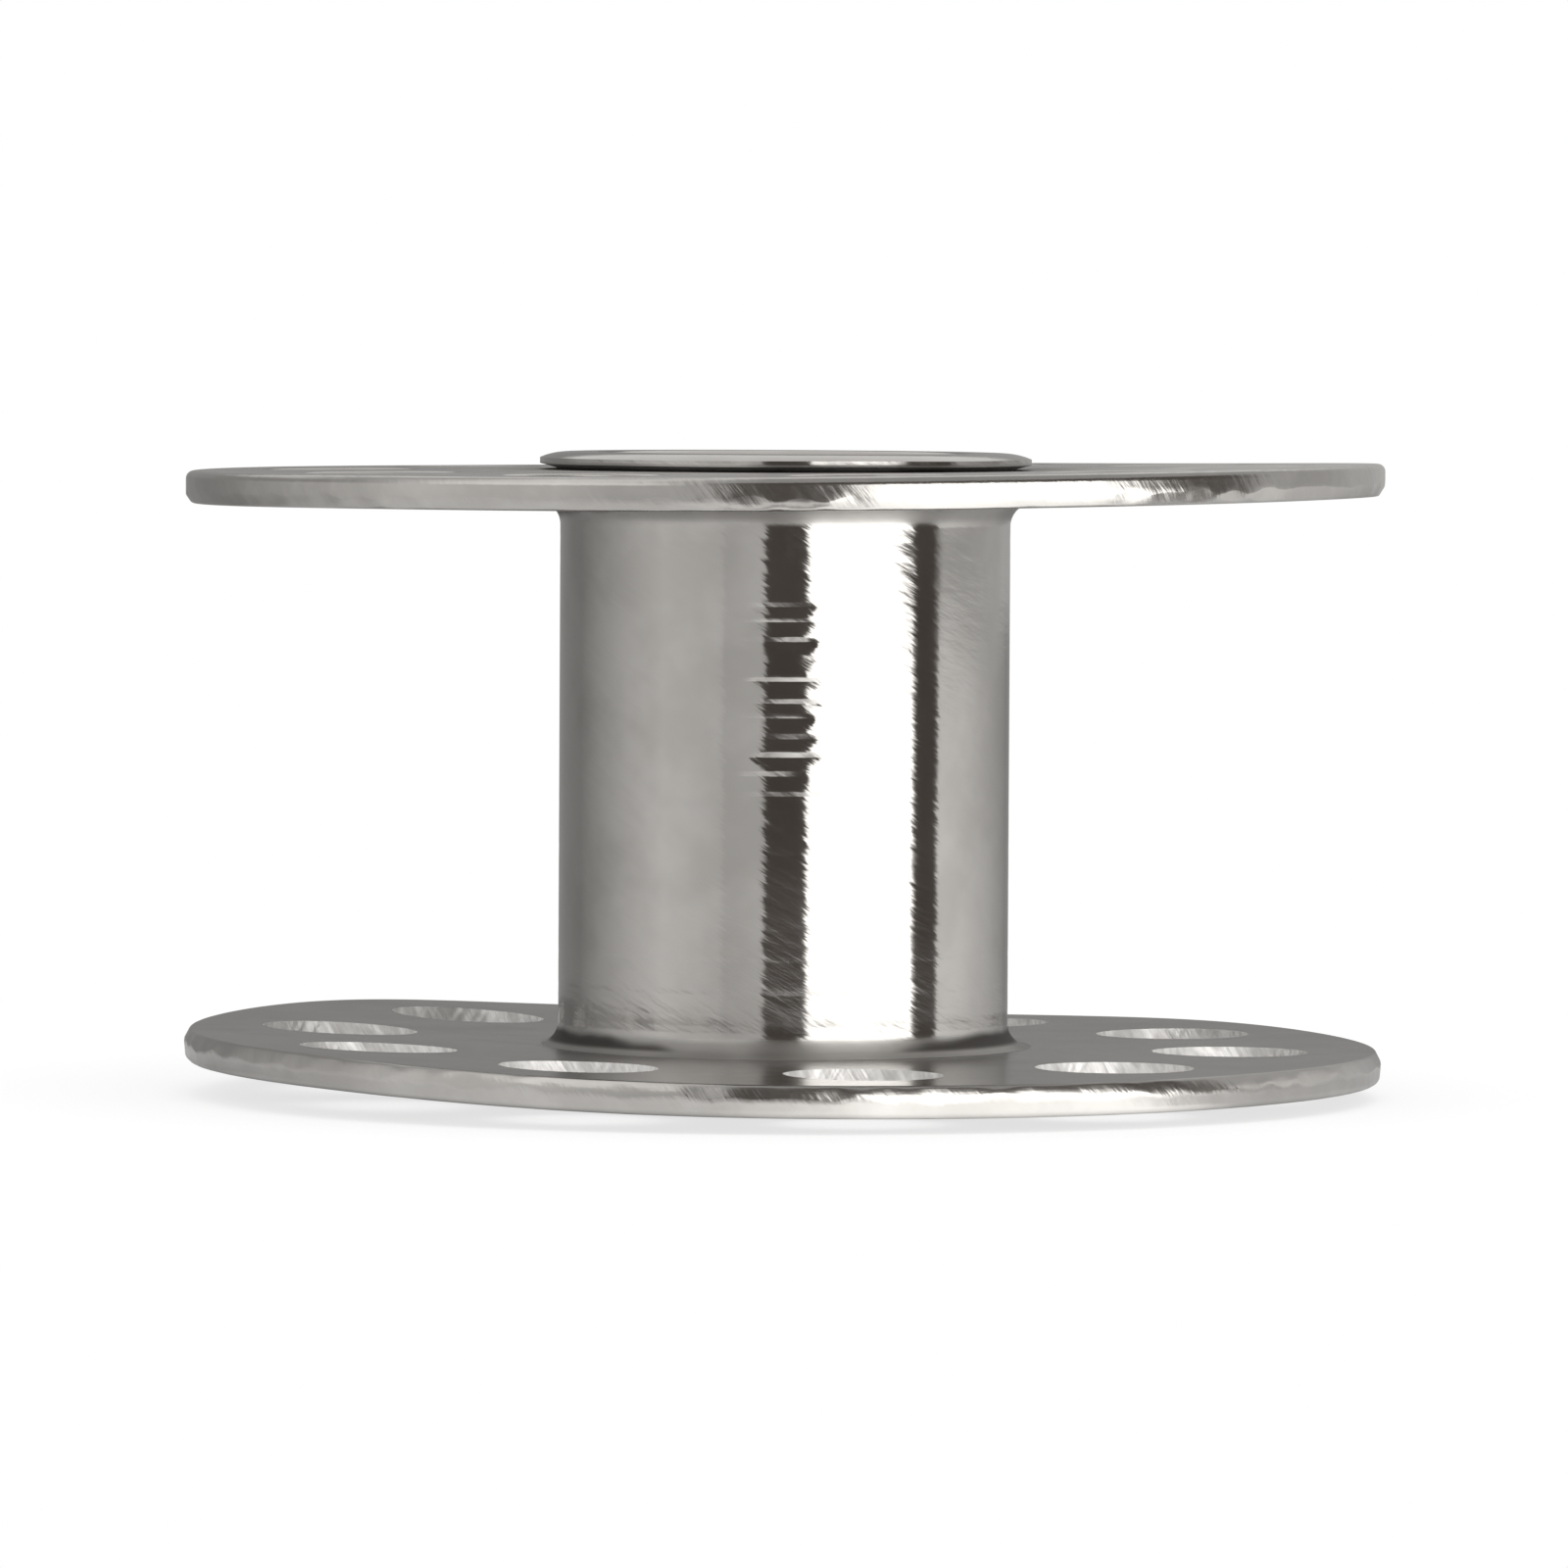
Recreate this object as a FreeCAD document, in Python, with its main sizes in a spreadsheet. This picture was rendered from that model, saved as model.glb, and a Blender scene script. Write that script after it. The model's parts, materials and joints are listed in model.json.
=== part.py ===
"""A metal sewing machine bobbin: a turned core tube with a punched sheet flange rolled on at each end.

Millimetres, +Z up. The axis of the bore is the Z axis, and the bobbin stands on its lower lip at z = 0.
"""

import FreeCAD, Part
import Sketcher
import math
import os

START, END, CENTRE = 1, 2, 3
ORIGIN_POINT = (-1, 1)
X_AXIS = -1
OUT_FOLDER = "parts"

# Driving dimensions: alias, value and what it measures.
SIZES = [
    ("bore_diameter", 6.1, "bore that turns on the bobbin case's post"),
    ("core_wall", 0.8, "wall of the core tube between the flanges"),
    ("winding_width", 9.3, "clear width between the two flanges"),
    ("shoulder_fillet", 0.4, "radius where the core's wall runs out to its shoulder"),
    ("neck_wall", 0.4, "wall of the thinner neck that passes through a flange"),
    ("neck_clearance", 0.01, "radial play between a neck and the hole of its flange"),
    ("lip_height", 0.3, "how far the rolled lip stands over the flange"),
    ("lip_overhang", 0.75, "how far the rolled lip reaches out past the neck"),
    ("lip_edge_height", 0.1, "height of the lip's raw outer edge"),
    ("lip_relief_width", 0.35, "outer part of the lip that curls clear of the flange"),
    ("lip_relief_lift", 0.08, "gap under the lip's outer edge"),
    ("lip_land_width", 0.33, "flat ring on the lip, which the bobbin stands on"),
    ("mouth_radius", 0.3, "radius at each mouth of the bore"),
    ("flange_diameter", 20.5, "outside of the flanges"),
    ("flange_thickness", 0.55, "sheet of the flanges"),
    ("rim_tear_height", 0.21, "height of the sloping band that shearing left on a rim's thread side"),
    ("rim_tear_depth", 0.1, "how far that band slopes in"),
    ("rim_outer_radius", 0.13, "rounding of a flange's rim on its outer side"),
    ("hole_count", 10, "holes round each flange"),
    ("hole_diameter", 2.6, "holes round each flange"),
    ("hole_inset", 2.55, "rim of the flange to the centre of a hole"),
    ("hole_edge_radius", 0.1, "rounding that the punch leaves at a hole's mouth, on the outer side"),
    ("lower_hole_angle", 28, "first hole of the lower flange from +X, in degrees"),
    ("upper_hole_angle", 8, "the same on the upper flange, counted on its own thread side"),
]
TEAR_SHARE = 0.65  # most of a sheet's thickness that the sloping band on its thread side may take
ROUNDING_SHARE = 0.3  # most of it that the rounding on its outer side may take
SAME_RADIUS = 1e-6  # radii that differ by less belong to the same ring of edges


def make_sheet(doc):
    """The spreadsheet of driving dimensions, and the same values by name for a sketch's first guess."""
    sheet = doc.addObject("Spreadsheet::Sheet", "Sizes")
    for row, (alias, value, meaning) in enumerate(SIZES, start=1):
        sheet.set(f"A{row}", alias)
        sheet.set(f"B{row}", str(value))
        sheet.setAlias(f"B{row}", alias)
        sheet.set(f"C{row}", meaning)
    doc.recompute()
    return {alias: float(sheet.get(alias)) for alias, _, _ in SIZES}


def origin_feature(body, role):
    """One of a body's own origin planes or axes."""
    return next(f for f in body.Origin.OriginFeatures if f.Role == role)


def add_sketch(body, name, plane):
    """An empty sketch on one of the body's origin planes."""
    sketch = body.newObject("Sketcher::SketchObject", name)
    sketch.AttachmentSupport = [(origin_feature(body, plane), "")]
    sketch.MapMode = "FlatFace"
    return sketch


def constrain(sketch, *facts):
    """Adds one constraint without a size."""
    sketch.addConstraint(Sketcher.Constraint(*facts))


def dimension(sketch, name, expression, kind, *points):
    """Adds a named dimension that the spreadsheet drives. Its first value is the geometry's own."""
    index = sketch.addConstraint(Sketcher.Constraint(kind, *points))
    sketch.renameConstraint(index, name)
    sketch.setExpression(f"Constraints.{name}", expression)


def core_section(body, size):
    """Half of the core's section, from mid-height to one lip, in the plane of radius (x) and height (y)."""
    bore = size["bore_diameter"] / 2
    wall = bore + size["core_wall"]
    neck = bore + size["neck_wall"]
    fillet = size["shoulder_fillet"]
    shoulder = size["winding_width"] / 2
    outer_face = shoulder + size["flange_thickness"]
    top = outer_face + size["lip_height"]
    lip = neck + size["lip_overhang"]
    seat = lip - size["lip_relief_width"]
    edge_foot = outer_face + size["lip_relief_lift"]
    edge_top = edge_foot + size["lip_edge_height"]
    mouth = size["mouth_radius"]
    land = bore + mouth + size["lip_land_width"]

    # The lip's crown is an arc that leaves the flat land level and falls to the top of the raw edge.
    crown_run = lip - land
    crown_fall = top - edge_top
    crown = (crown_run**2 + crown_fall**2) / (2 * crown_fall)
    crown_angle = math.acos(crown_run / crown)

    def point(x, y):
        return FreeCAD.Vector(x, y, 0)

    def line(a, b):
        return Part.LineSegment(point(*a), point(*b))

    def arc(x, y, radius, first, last):
        circle = Part.Circle(point(x, y), FreeCAD.Vector(0, 0, 1), radius)
        return Part.ArcOfCircle(circle, first, last)

    quarter, half = math.pi / 2, math.pi
    sketch = add_sketch(body, "core_section", "XZ_Plane")
    pieces = [
        ("mid_height", line((bore, 0), (wall, 0))),
        ("core_wall", line((wall, 0), (wall, shoulder - fillet))),
        ("shoulder_fillet", arc(wall + fillet, shoulder - fillet, fillet, quarter, half)),
        ("shoulder", line((wall + fillet, shoulder), (neck, shoulder))),
        ("neck", line((neck, shoulder), (neck, outer_face))),
        ("lip_seat", line((neck, outer_face), (seat, outer_face))),
        ("lip_relief", line((seat, outer_face), (lip, edge_foot))),
        ("lip_edge", line((lip, edge_foot), (lip, edge_top))),
        ("lip_crown", arc(land, top - crown, crown, crown_angle, quarter)),
        ("lip_land", line((land, top), (bore + mouth, top))),
        ("mouth", arc(bore + mouth, top - mouth, mouth, quarter, half)),
        ("bore", line((bore, top - mouth), (bore, 0))),
    ]
    index = {name: sketch.addGeometry(shape, False) for name, shape in pieces}

    # An arc runs anticlockwise, so the fillet is met at its far end first.
    corners = [
        ("mid_height", END, "core_wall", START),
        ("shoulder", END, "neck", START),
        ("neck", END, "lip_seat", START),
        ("lip_seat", END, "lip_relief", START),
        ("lip_relief", END, "lip_edge", START),
        ("lip_edge", END, "lip_crown", START),
        ("bore", END, "mid_height", START),
    ]
    smooth = [
        ("core_wall", END, "shoulder_fillet", END),
        ("shoulder_fillet", START, "shoulder", START),
        ("lip_crown", END, "lip_land", START),
        ("lip_land", END, "mouth", START),
        ("mouth", END, "bore", START),
    ]
    for a, a_end, b, b_end in corners:
        constrain(sketch, "Coincident", index[a], a_end, index[b], b_end)
    for a, a_end, b, b_end in smooth:
        constrain(sketch, "Tangent", index[a], a_end, index[b], b_end)
    for name in ("shoulder", "lip_seat", "lip_land"):
        constrain(sketch, "Horizontal", index[name])
    for name in ("core_wall", "neck", "lip_edge", "bore"):
        constrain(sketch, "Vertical", index[name])
    constrain(sketch, "PointOnObject", index["mid_height"], START, X_AXIS)
    constrain(sketch, "PointOnObject", index["mid_height"], END, X_AXIS)

    def across(name, expression, piece, end):
        span = (*ORIGIN_POINT, index[piece], end)
        x = sketch.getPoint(index[piece], end).x
        dimension(sketch, name, expression, "DistanceX", *span, x)

    def up(name, expression, low, low_end, high, high_end):
        span = (index[low], low_end, index[high], high_end)
        rise = sketch.getPoint(index[high], high_end).y - sketch.getPoint(index[low], low_end).y
        dimension(sketch, name, expression, "DistanceY", *span, rise)

    bore_x = "Sizes.bore_diameter / 2"
    lip_x = f"{bore_x} + Sizes.neck_wall + Sizes.lip_overhang"
    across("bore_radius", bore_x, "mid_height", START)
    across("wall_radius", f"{bore_x} + Sizes.core_wall", "mid_height", END)
    across("neck_radius", f"{bore_x} + Sizes.neck_wall", "neck", START)
    across("lip_radius", lip_x, "lip_edge", START)
    across("seat_radius", f"{lip_x} - Sizes.lip_relief_width", "lip_seat", END)
    across("land_radius", f"{bore_x} + Sizes.mouth_radius + Sizes.lip_land_width", "lip_land", START)
    up("half_winding_width", "Sizes.winding_width / 2", "mid_height", END, "neck", START)
    up("neck_length", "Sizes.flange_thickness", "neck", START, "neck", END)
    up("lip_rise", "Sizes.lip_height", "neck", END, "lip_land", START)
    up("relief_rise", "Sizes.lip_relief_lift", "lip_seat", END, "lip_edge", START)
    up("edge_rise", "Sizes.lip_edge_height", "lip_edge", START, "lip_edge", END)
    dimension(sketch, "fillet", "Sizes.shoulder_fillet", "Radius", index["shoulder_fillet"], fillet)
    dimension(sketch, "mouth", "Sizes.mouth_radius", "Radius", index["mouth"], mouth)
    return sketch


def build_core(doc, size):
    """The core tube: half of it is revolved, then mirrored about mid-height."""
    body = doc.addObject("PartDesign::Body", "core_tube")
    section = core_section(body, size)
    half = body.newObject("PartDesign::Revolution", "core_half")
    half.Profile = section
    half.ReferenceAxis = (section, ["V_Axis"])
    half.Angle = 360
    doc.recompute()
    whole = body.newObject("PartDesign::Mirrored", "core_whole")
    whole.Originals = [half]
    whole.MirrorPlane = (origin_feature(body, "XY_Plane"), [""])
    body.Tip = whole
    mid_height = "Sizes.lip_height + Sizes.flange_thickness + Sizes.winding_width / 2"
    body.setExpression("Placement.Base.z", mid_height)
    return body


def disc_outline(body, size):
    """The flange's blank: its rim and the hole that fits the core's neck."""
    sketch = add_sketch(body, f"{body.Name}_outline", "XY_Plane")
    neck = size["bore_diameter"] / 2 + size["neck_wall"] + size["neck_clearance"]
    circles = [
        ("rim", size["flange_diameter"] / 2, "Sizes.flange_diameter / 2"),
        ("seat", neck, "Sizes.bore_diameter / 2 + Sizes.neck_wall + Sizes.neck_clearance"),
    ]
    for name, radius, expression in circles:
        circle = Part.Circle(FreeCAD.Vector(0, 0, 0), FreeCAD.Vector(0, 0, 1), radius)
        index = sketch.addGeometry(circle, False)
        constrain(sketch, "Coincident", index, CENTRE, *ORIGIN_POINT)
        dimension(sketch, f"{name}_radius", expression, "Radius", index, radius)
    return sketch


def first_hole(body, size, angle_alias):
    """One hole of the ring, at the end of a construction line from the flange's centre."""
    sketch = add_sketch(body, f"{body.Name}_first_hole", "XY_Plane")
    reach = size["flange_diameter"] / 2 - size["hole_inset"]
    angle = math.radians(size[angle_alias])
    centre = FreeCAD.Vector(reach * math.cos(angle), reach * math.sin(angle), 0)
    spoke = sketch.addGeometry(Part.LineSegment(FreeCAD.Vector(0, 0, 0), centre), True)
    radius = size["hole_diameter"] / 2
    hole = sketch.addGeometry(Part.Circle(centre, FreeCAD.Vector(0, 0, 1), radius), False)
    constrain(sketch, "Coincident", spoke, START, *ORIGIN_POINT)
    constrain(sketch, "Coincident", hole, CENTRE, spoke, END)
    dimension(sketch, "reach", "Sizes.flange_diameter / 2 - Sizes.hole_inset", "Distance", spoke, reach)
    dimension(sketch, "angle", f"Sizes.{angle_alias} * 1deg", "Angle", spoke, angle)
    dimension(sketch, "radius", "Sizes.hole_diameter / 2", "Radius", hole, radius)
    return sketch


def ring_edges(shape, radius, thread_side):
    """Names of a flange's full circles of one radius, on its thread side (+Z) or on its outer side."""
    rings = [
        (f"Edge{number}", edge.Curve)
        for number, edge in enumerate(shape.Edges, start=1)
        if isinstance(edge.Curve, Part.Circle)
    ]
    return [
        name
        for name, ring in rings
        if abs(ring.Radius - radius) < SAME_RADIUS and (ring.Center.z > 0) == thread_side
    ]


def round_outer_edges(doc, body, name, radius, rounding):
    """Rounds a flange's circles of one radius on its outer side, by no more than the sheet allows."""
    last = body.Tip
    fillet = body.newObject("PartDesign::Fillet", f"{body.Name}_{name}")
    fillet.Base = (last, ring_edges(last.Shape, radius, thread_side=False))
    fillet.setExpression("Radius", f"min(Sizes.{rounding}; {ROUNDING_SHARE} * Sizes.flange_thickness)")
    body.Tip = fillet
    doc.recompute()


def slope_rim(doc, body, radius):
    """Slopes the rim in on the thread's side, where the sheet tore as it was cut."""
    last = body.Tip
    band = body.newObject("PartDesign::Chamfer", f"{body.Name}_rim_tear")
    band.Base = (last, ring_edges(last.Shape, radius, thread_side=True))
    band.ChamferType = "Two distances"
    band.setExpression("Size", f"min(Sizes.rim_tear_height; {TEAR_SHARE} * Sizes.flange_thickness)")
    band.setExpression("Size2", "Sizes.rim_tear_depth")
    body.Tip = band
    doc.recompute()


def build_flange(doc, size, name, angle_alias, height, turned_over):
    """A flange: a blanked disc with a ring of punched holes.

    The blank and its holes are cut in one stroke: the sheet is drawn in and rounded on the outer side, and
    tears on the thread's side. Both flanges are the same stamping. Its thread side is +Z, and the upper one
    is turned over.
    """
    body = doc.addObject("PartDesign::Body", name)
    disc = body.newObject("PartDesign::Pad", f"{name}_disc")
    disc.Profile = disc_outline(body, size)
    disc.SideType = "Symmetric"
    disc.setExpression("Length", "Sizes.flange_thickness")
    doc.recompute()

    hole = body.newObject("PartDesign::Pocket", f"{name}_hole")
    hole.Profile = first_hole(body, size, angle_alias)
    hole.SideType = "Symmetric"
    hole.Type = "ThroughAll"
    doc.recompute()

    ring = body.newObject("PartDesign::PolarPattern", f"{name}_hole_ring")
    ring.Originals = [hole]
    ring.Axis = (origin_feature(body, "Z_Axis"), [""])
    ring.Angle = 360
    ring.setExpression("Occurrences", "Sizes.hole_count")
    body.Tip = ring
    doc.recompute()
    if ring.Shape.Volume >= disc.Shape.Volume:
        raise RuntimeError(f"the holes of {name} cut nothing")

    rim = size["flange_diameter"] / 2
    mouth = size["hole_diameter"] / 2
    round_outer_edges(doc, body, "rim_rounding", rim, "rim_outer_radius")
    round_outer_edges(doc, body, "hole_rounding", mouth, "hole_edge_radius")
    slope_rim(doc, body, rim)

    if turned_over:
        body.Placement.Rotation = FreeCAD.Rotation(FreeCAD.Vector(1, 0, 0), 180)
    body.setExpression("Placement.Base.z", height)
    return body


def check(doc, bodies):
    """Stops before anything is written if a feature failed or a sub-part isn't one sound solid."""
    for item in doc.Objects:
        if "Invalid" in item.State or "Error" in item.State:
            raise RuntimeError(f"{item.Name} failed to build: {item.State}")
    for body in bodies:
        shape = body.Shape
        if shape.isNull() or not shape.isValid() or len(shape.Solids) != 1:
            raise RuntimeError(f"{body.Label} isn't one valid solid")


def main():
    doc = FreeCAD.newDocument("Bobbin")
    size = make_sheet(doc)
    lower_height = "Sizes.lip_height + Sizes.flange_thickness / 2"
    upper_height = f"{lower_height} + Sizes.flange_thickness + Sizes.winding_width"
    bodies = [
        build_core(doc, size),
        build_flange(doc, size, "lower_flange", "lower_hole_angle", lower_height, turned_over=False),
        build_flange(doc, size, "upper_flange", "upper_hole_angle", upper_height, turned_over=True),
    ]
    doc.recompute()
    check(doc, bodies)
    os.makedirs(OUT_FOLDER, exist_ok=True)
    for body in bodies:
        body.Shape.exportStep(os.path.join(OUT_FOLDER, f"{body.Label}.step"))


main()
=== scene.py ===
"""Looks of a plated metal sewing machine bobbin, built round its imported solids.

The frame is the part's own, in metres: +Z up, the bore on the Z axis, the lower lip at z = 0. The
photograph looks along +Y. Lengths here are in millimetres until a mesh is made.
"""

import json
import math
import random
from collections import namedtuple

import bmesh
import bpy
from mathutils import Matrix, Vector


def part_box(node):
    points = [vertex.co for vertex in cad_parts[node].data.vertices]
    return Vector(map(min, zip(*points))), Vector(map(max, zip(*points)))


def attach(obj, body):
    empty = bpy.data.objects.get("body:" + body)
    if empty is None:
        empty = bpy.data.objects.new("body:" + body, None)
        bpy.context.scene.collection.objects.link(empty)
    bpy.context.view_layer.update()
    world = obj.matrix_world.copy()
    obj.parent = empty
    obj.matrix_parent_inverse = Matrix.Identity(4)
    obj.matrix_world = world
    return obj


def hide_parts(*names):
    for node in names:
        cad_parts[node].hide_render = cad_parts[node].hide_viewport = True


MM = 0.001
FULL_TURN = 2 * math.pi

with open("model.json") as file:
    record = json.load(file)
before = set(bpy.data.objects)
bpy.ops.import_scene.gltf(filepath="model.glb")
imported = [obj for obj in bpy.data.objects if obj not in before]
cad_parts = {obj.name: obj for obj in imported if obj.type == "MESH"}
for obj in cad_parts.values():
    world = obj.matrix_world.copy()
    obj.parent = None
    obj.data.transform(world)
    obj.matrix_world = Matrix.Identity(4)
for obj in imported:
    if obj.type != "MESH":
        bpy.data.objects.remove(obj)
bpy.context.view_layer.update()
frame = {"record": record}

# Sizes read from the frame. Heights in a section count from mid-height.
_, core_high = (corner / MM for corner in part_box("core_tube"))
lower_low, lower_high = (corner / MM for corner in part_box("lower_flange"))
upper_low, upper_high = (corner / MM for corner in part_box("upper_flange"))
bore_mount = next(mount for mount in frame["record"]["mounts"] if mount["name"] == "bore")
BORE_RADIUS = bore_mount["dims"]["r_mm"]
LIP_RADIUS = core_high.x
FLANGE_RADIUS = min(lower_high.x, lower_high.y, -lower_low.x, -lower_low.y)
SHEET = lower_high.z - lower_low.z
HALF_SHEET = SHEET / 2
HALF_WINDING = (upper_low.z - lower_high.z) / 2
OUTER_FACE = HALF_WINDING + SHEET
MID_HEIGHT = core_high.z / 2
LIP_TOP = MID_HEIGHT

# Sizes of the core's section, the same as the solid's
HUB_RADIUS = 3.85
SHOULDER_FILLET = 0.4
FILLET_FOOT = HALF_WINDING - SHOULDER_FILLET
NECK_RADIUS = 3.45
LIP_RELIEF_WIDTH = 0.35
LIP_RELIEF_LIFT = 0.08
LIP_EDGE_HEIGHT = 0.1
LIP_LAND_WIDTH = 0.33
MOUTH_RADIUS = 0.3
LIP_LAND = BORE_RADIUS + MOUTH_RADIUS + LIP_LAND_WIDTH

# Sizes of a flange, the same as the solid's
SEAT_RADIUS = 3.46
RIM_TEAR_HEIGHT = 0.21
RIM_TEAR_DEPTH = 0.1
RIM_ROUNDING = 0.13
HOLES = 10
HOLE_RADIUS = 1.3
HOLE_CIRCLE = 7.7
HOLE_ROUNDING = 0.1
HOLE_ANGLE = math.radians(28)

CREASE_ANGLE = math.radians(35)  # edges that bend more than this stay sharp
RIPPLE_SIZES = 0.5, 1.0  # least and greatest share of one harmonic in a ripple


def lerp(a, b, t):
    return a + (b - a) * t


def smoothstep(low, high, value):
    t = min(max((value - low) / (high - low), 0.0), 1.0)
    return t * t * (3 - 2 * t)


def polar(radius, angle):
    return radius * math.cos(angle), radius * math.sin(angle)


def between(start, end, t):
    """The point at a share of the way from one point to another."""
    return lerp(start[0], end[0], t), lerp(start[1], end[1], t)


def line(start, end, steps):
    """Points from start to just before end."""
    return [between(start, end, i / steps) for i in range(steps)]


def arc(centre, radius, first, last, steps):
    """Points from one angle, in degrees, to just before another."""
    angles = [math.radians(lerp(first, last, i / steps)) for i in range(steps)]
    return [(centre[0] + radius * math.cos(a), centre[1] + radius * math.sin(a)) for a in angles]


def curve(start, corner, end, t):
    """A point of the smooth curve that cuts a corner."""
    return between(between(start, corner, t), between(corner, end, t), t)


def ripple(seed, harmonics, strength):
    """A smooth wave round a circle, as a function of the angle, that repeats after one turn."""
    draw = random.Random(seed)
    terms = [(h, draw.uniform(0, FULL_TURN), draw.uniform(*RIPPLE_SIZES)) for h in harmonics]
    total = sum(size for _, _, size in terms)
    return lambda angle: strength * sum(s * math.cos(h * angle + p) for h, p, s in terms) / total


class Patchwork:
    """Patches of quads, whose points and faces go into one mesh."""

    def __init__(self):
        self.vertices, self.faces, self.face_materials = [], [], []

    def add(self, rows, closed, material=0):
        """Quads between rows of points of the same length. A closed row runs on to its own first point."""
        start, count = len(self.vertices), len(rows[0])
        for row in rows:
            self.vertices.extend(row)
        for i in range(len(rows) - 1):
            a, b = start + i * count, start + (i + 1) * count
            for j in range(count if closed else count - 1):
                k = (j + 1) % count
                self.faces.append((a + j, a + k, b + k, b + j))
                self.face_materials.append(material)


def new_piece(name, vertices, faces, materials, face_materials=None, merge=None):
    """A smooth mesh object from points in millimetres, with its sharp edges kept."""
    mesh = bpy.data.meshes.new(name)
    mesh.from_pydata([Vector(v) * MM for v in vertices], [], faces)
    for material in materials:
        mesh.materials.append(material)
    if face_materials:
        mesh.polygons.foreach_set("material_index", face_materials)
    work = bmesh.new()
    work.from_mesh(mesh)
    if merge:
        bmesh.ops.remove_doubles(work, verts=work.verts, dist=merge * MM)
    bmesh.ops.recalc_face_normals(work, faces=work.faces)
    work.to_mesh(mesh)
    work.free()
    mesh.polygons.foreach_set("use_smooth", [True] * len(mesh.polygons))
    mesh.set_sharp_from_angle(angle=CREASE_ANGLE)
    piece = bpy.data.objects.new(name, mesh)
    bpy.context.scene.collection.objects.link(piece)
    return piece


class Nodes:
    """Builds a node tree: each call adds a node, sets or links its inputs, and gives its output."""

    def __init__(self, tree):
        self.tree = tree
        tree.nodes.clear()

    def feed(self, socket, value):
        """Links an input to another node's output, or sets it to a plain value."""
        if isinstance(value, bpy.types.NodeSocket):
            self.tree.links.new(value, socket)
        else:
            socket.default_value = value

    def add(self, kind, output=0, settings=(), **inputs):
        """Any node. An input goes by its name, with _ for a space, or by i and its number."""
        made = self.tree.nodes.new(kind)
        for name, value in dict(settings).items():
            setattr(made, name, value)
        for name, value in inputs.items():
            numbered = name[0] == "i" and name[1:].isdigit()
            self.feed(made.inputs[int(name[1:]) if numbered else name.replace("_", " ")], value)
        return made.outputs[output] if made.outputs else made

    def math(self, operation, *values):
        inputs = {f"i{i}": value for i, value in enumerate(values)}
        return self.add("ShaderNodeMath", settings={"operation": operation}, **inputs)

    def plus(self, a, b):
        return self.math("ADD", a, b)

    def minus(self, a, b):
        return self.math("SUBTRACT", a, b)

    def times(self, a, b):
        return self.math("MULTIPLY", a, b)

    def vector(self, operation, *values):
        inputs = {f"i{i}": value for i, value in enumerate(values)}
        return self.add("ShaderNodeVectorMath", settings={"operation": operation}, **inputs)

    def spread(self, factor, low, high):
        """A value from low to high, by a factor from 0 to 1."""
        return self.add("ShaderNodeMapRange", Value=factor, To_Min=low, To_Max=high)

    def ramp(self, factor, low, high, to_low=0.0, to_high=1.0):
        """A smooth step of the factor from low to high."""
        settings = {"interpolation_type": "SMOOTHSTEP"}
        return self.add("ShaderNodeMapRange", 0, settings, Value=factor, From_Min=low, From_Max=high,
                        To_Min=to_low, To_Max=to_high)

    def noise(self, vector, scale=1.0, detail=3.0, roughness=0.6):
        return self.add("ShaderNodeTexNoise", Vector=vector, Scale=scale, Detail=detail, Roughness=roughness)

    def mix_colour(self, factor, a, b):
        made = self.tree.nodes.new("ShaderNodeMix")
        made.data_type = "RGBA"
        sockets = {socket.identifier: socket for socket in (*made.inputs, *made.outputs)}
        for name, value in (("Factor_Float", factor), ("A_Color", a), ("B_Color", b)):
            self.feed(sockets[name], value)
        return sockets["Result_Color"]


# Where a shaded point is: its coordinates, and how far it is from the axis and from mid-height
Place = namedtuple("Place", "point x y z radius off_middle")


def new_material(name):
    material = bpy.data.materials.new(name)
    material.use_nodes = True
    return material, Nodes(material.node_tree)


def place(nodes):
    """Where the shaded point is, in millimetres."""
    metres = nodes.add("ShaderNodeTexCoord", "Object")
    point = nodes.add("ShaderNodeVectorMath", settings={"operation": "SCALE"}, i0=metres, Scale=1 / MM)
    x, y, z = nodes.add("ShaderNodeSeparateXYZ", Vector=point).node.outputs
    radius = nodes.math("SQRT", nodes.plus(nodes.times(x, x), nodes.times(y, y)))
    off_middle = nodes.math("ABSOLUTE", nodes.minus(z, MID_HEIGHT))
    return Place(point, x, y, z, radius, off_middle)


# Plating: the two tones of each kind, the range of a noise between them, and the colours of dirt and painted
# shade
TONE_RANGE = 0.35, 0.65
TUBE_TONES = (0.43, 0.42, 0.405, 1), (0.49, 0.48, 0.465, 1)
SHEET_TONES = (0.43, 0.42, 0.405, 1), (0.50, 0.49, 0.475, 1)
TORN_TONES = (0.62, 0.61, 0.595, 1), (0.86, 0.85, 0.835, 1)
RUBBED_TONES = (0.40, 0.39, 0.375, 1), (0.47, 0.46, 0.445, 1)
TUBE_DIRT_AND_SHADE = (0.10, 0.092, 0.085, 1)
SHEET_DIRT_AND_SHADE = (0.09, 0.082, 0.075, 1)

# How rough each kind is, from a mirror at 0, and how much rougher it is under dirt and painted shade and on
# the tube's fillets
TUBE_FINISH = 0.09, 0.14
SHEET_FINISH = 0.17, 0.27
TORN_FINISH = 0.45
RUBBED_FINISH = 0.3
TUBE_DIRT_AND_SHADE_FINISH = 0.35
SHEET_DIRT_AND_SHADE_FINISH = 0.4
FILLET_FINISH = 0.35

# How deep the relief of each kind is
TUBE_RELIEF = 0.008
SHEET_RELIEF = 0.014
TORN_RELIEF = 0.03
RUBBED_RELIEF = 0.006

TORN_METALLIC = 0.5  # torn walls scatter more light than smooth metal
TUBE_ANISOTROPY = 0.9  # reflections in the tube are drawn out one way
TUBE_GRAIN_TURN = 0.25  # of a full turn, from the way round the tube
NOISE_MEAN = 0.5

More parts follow.
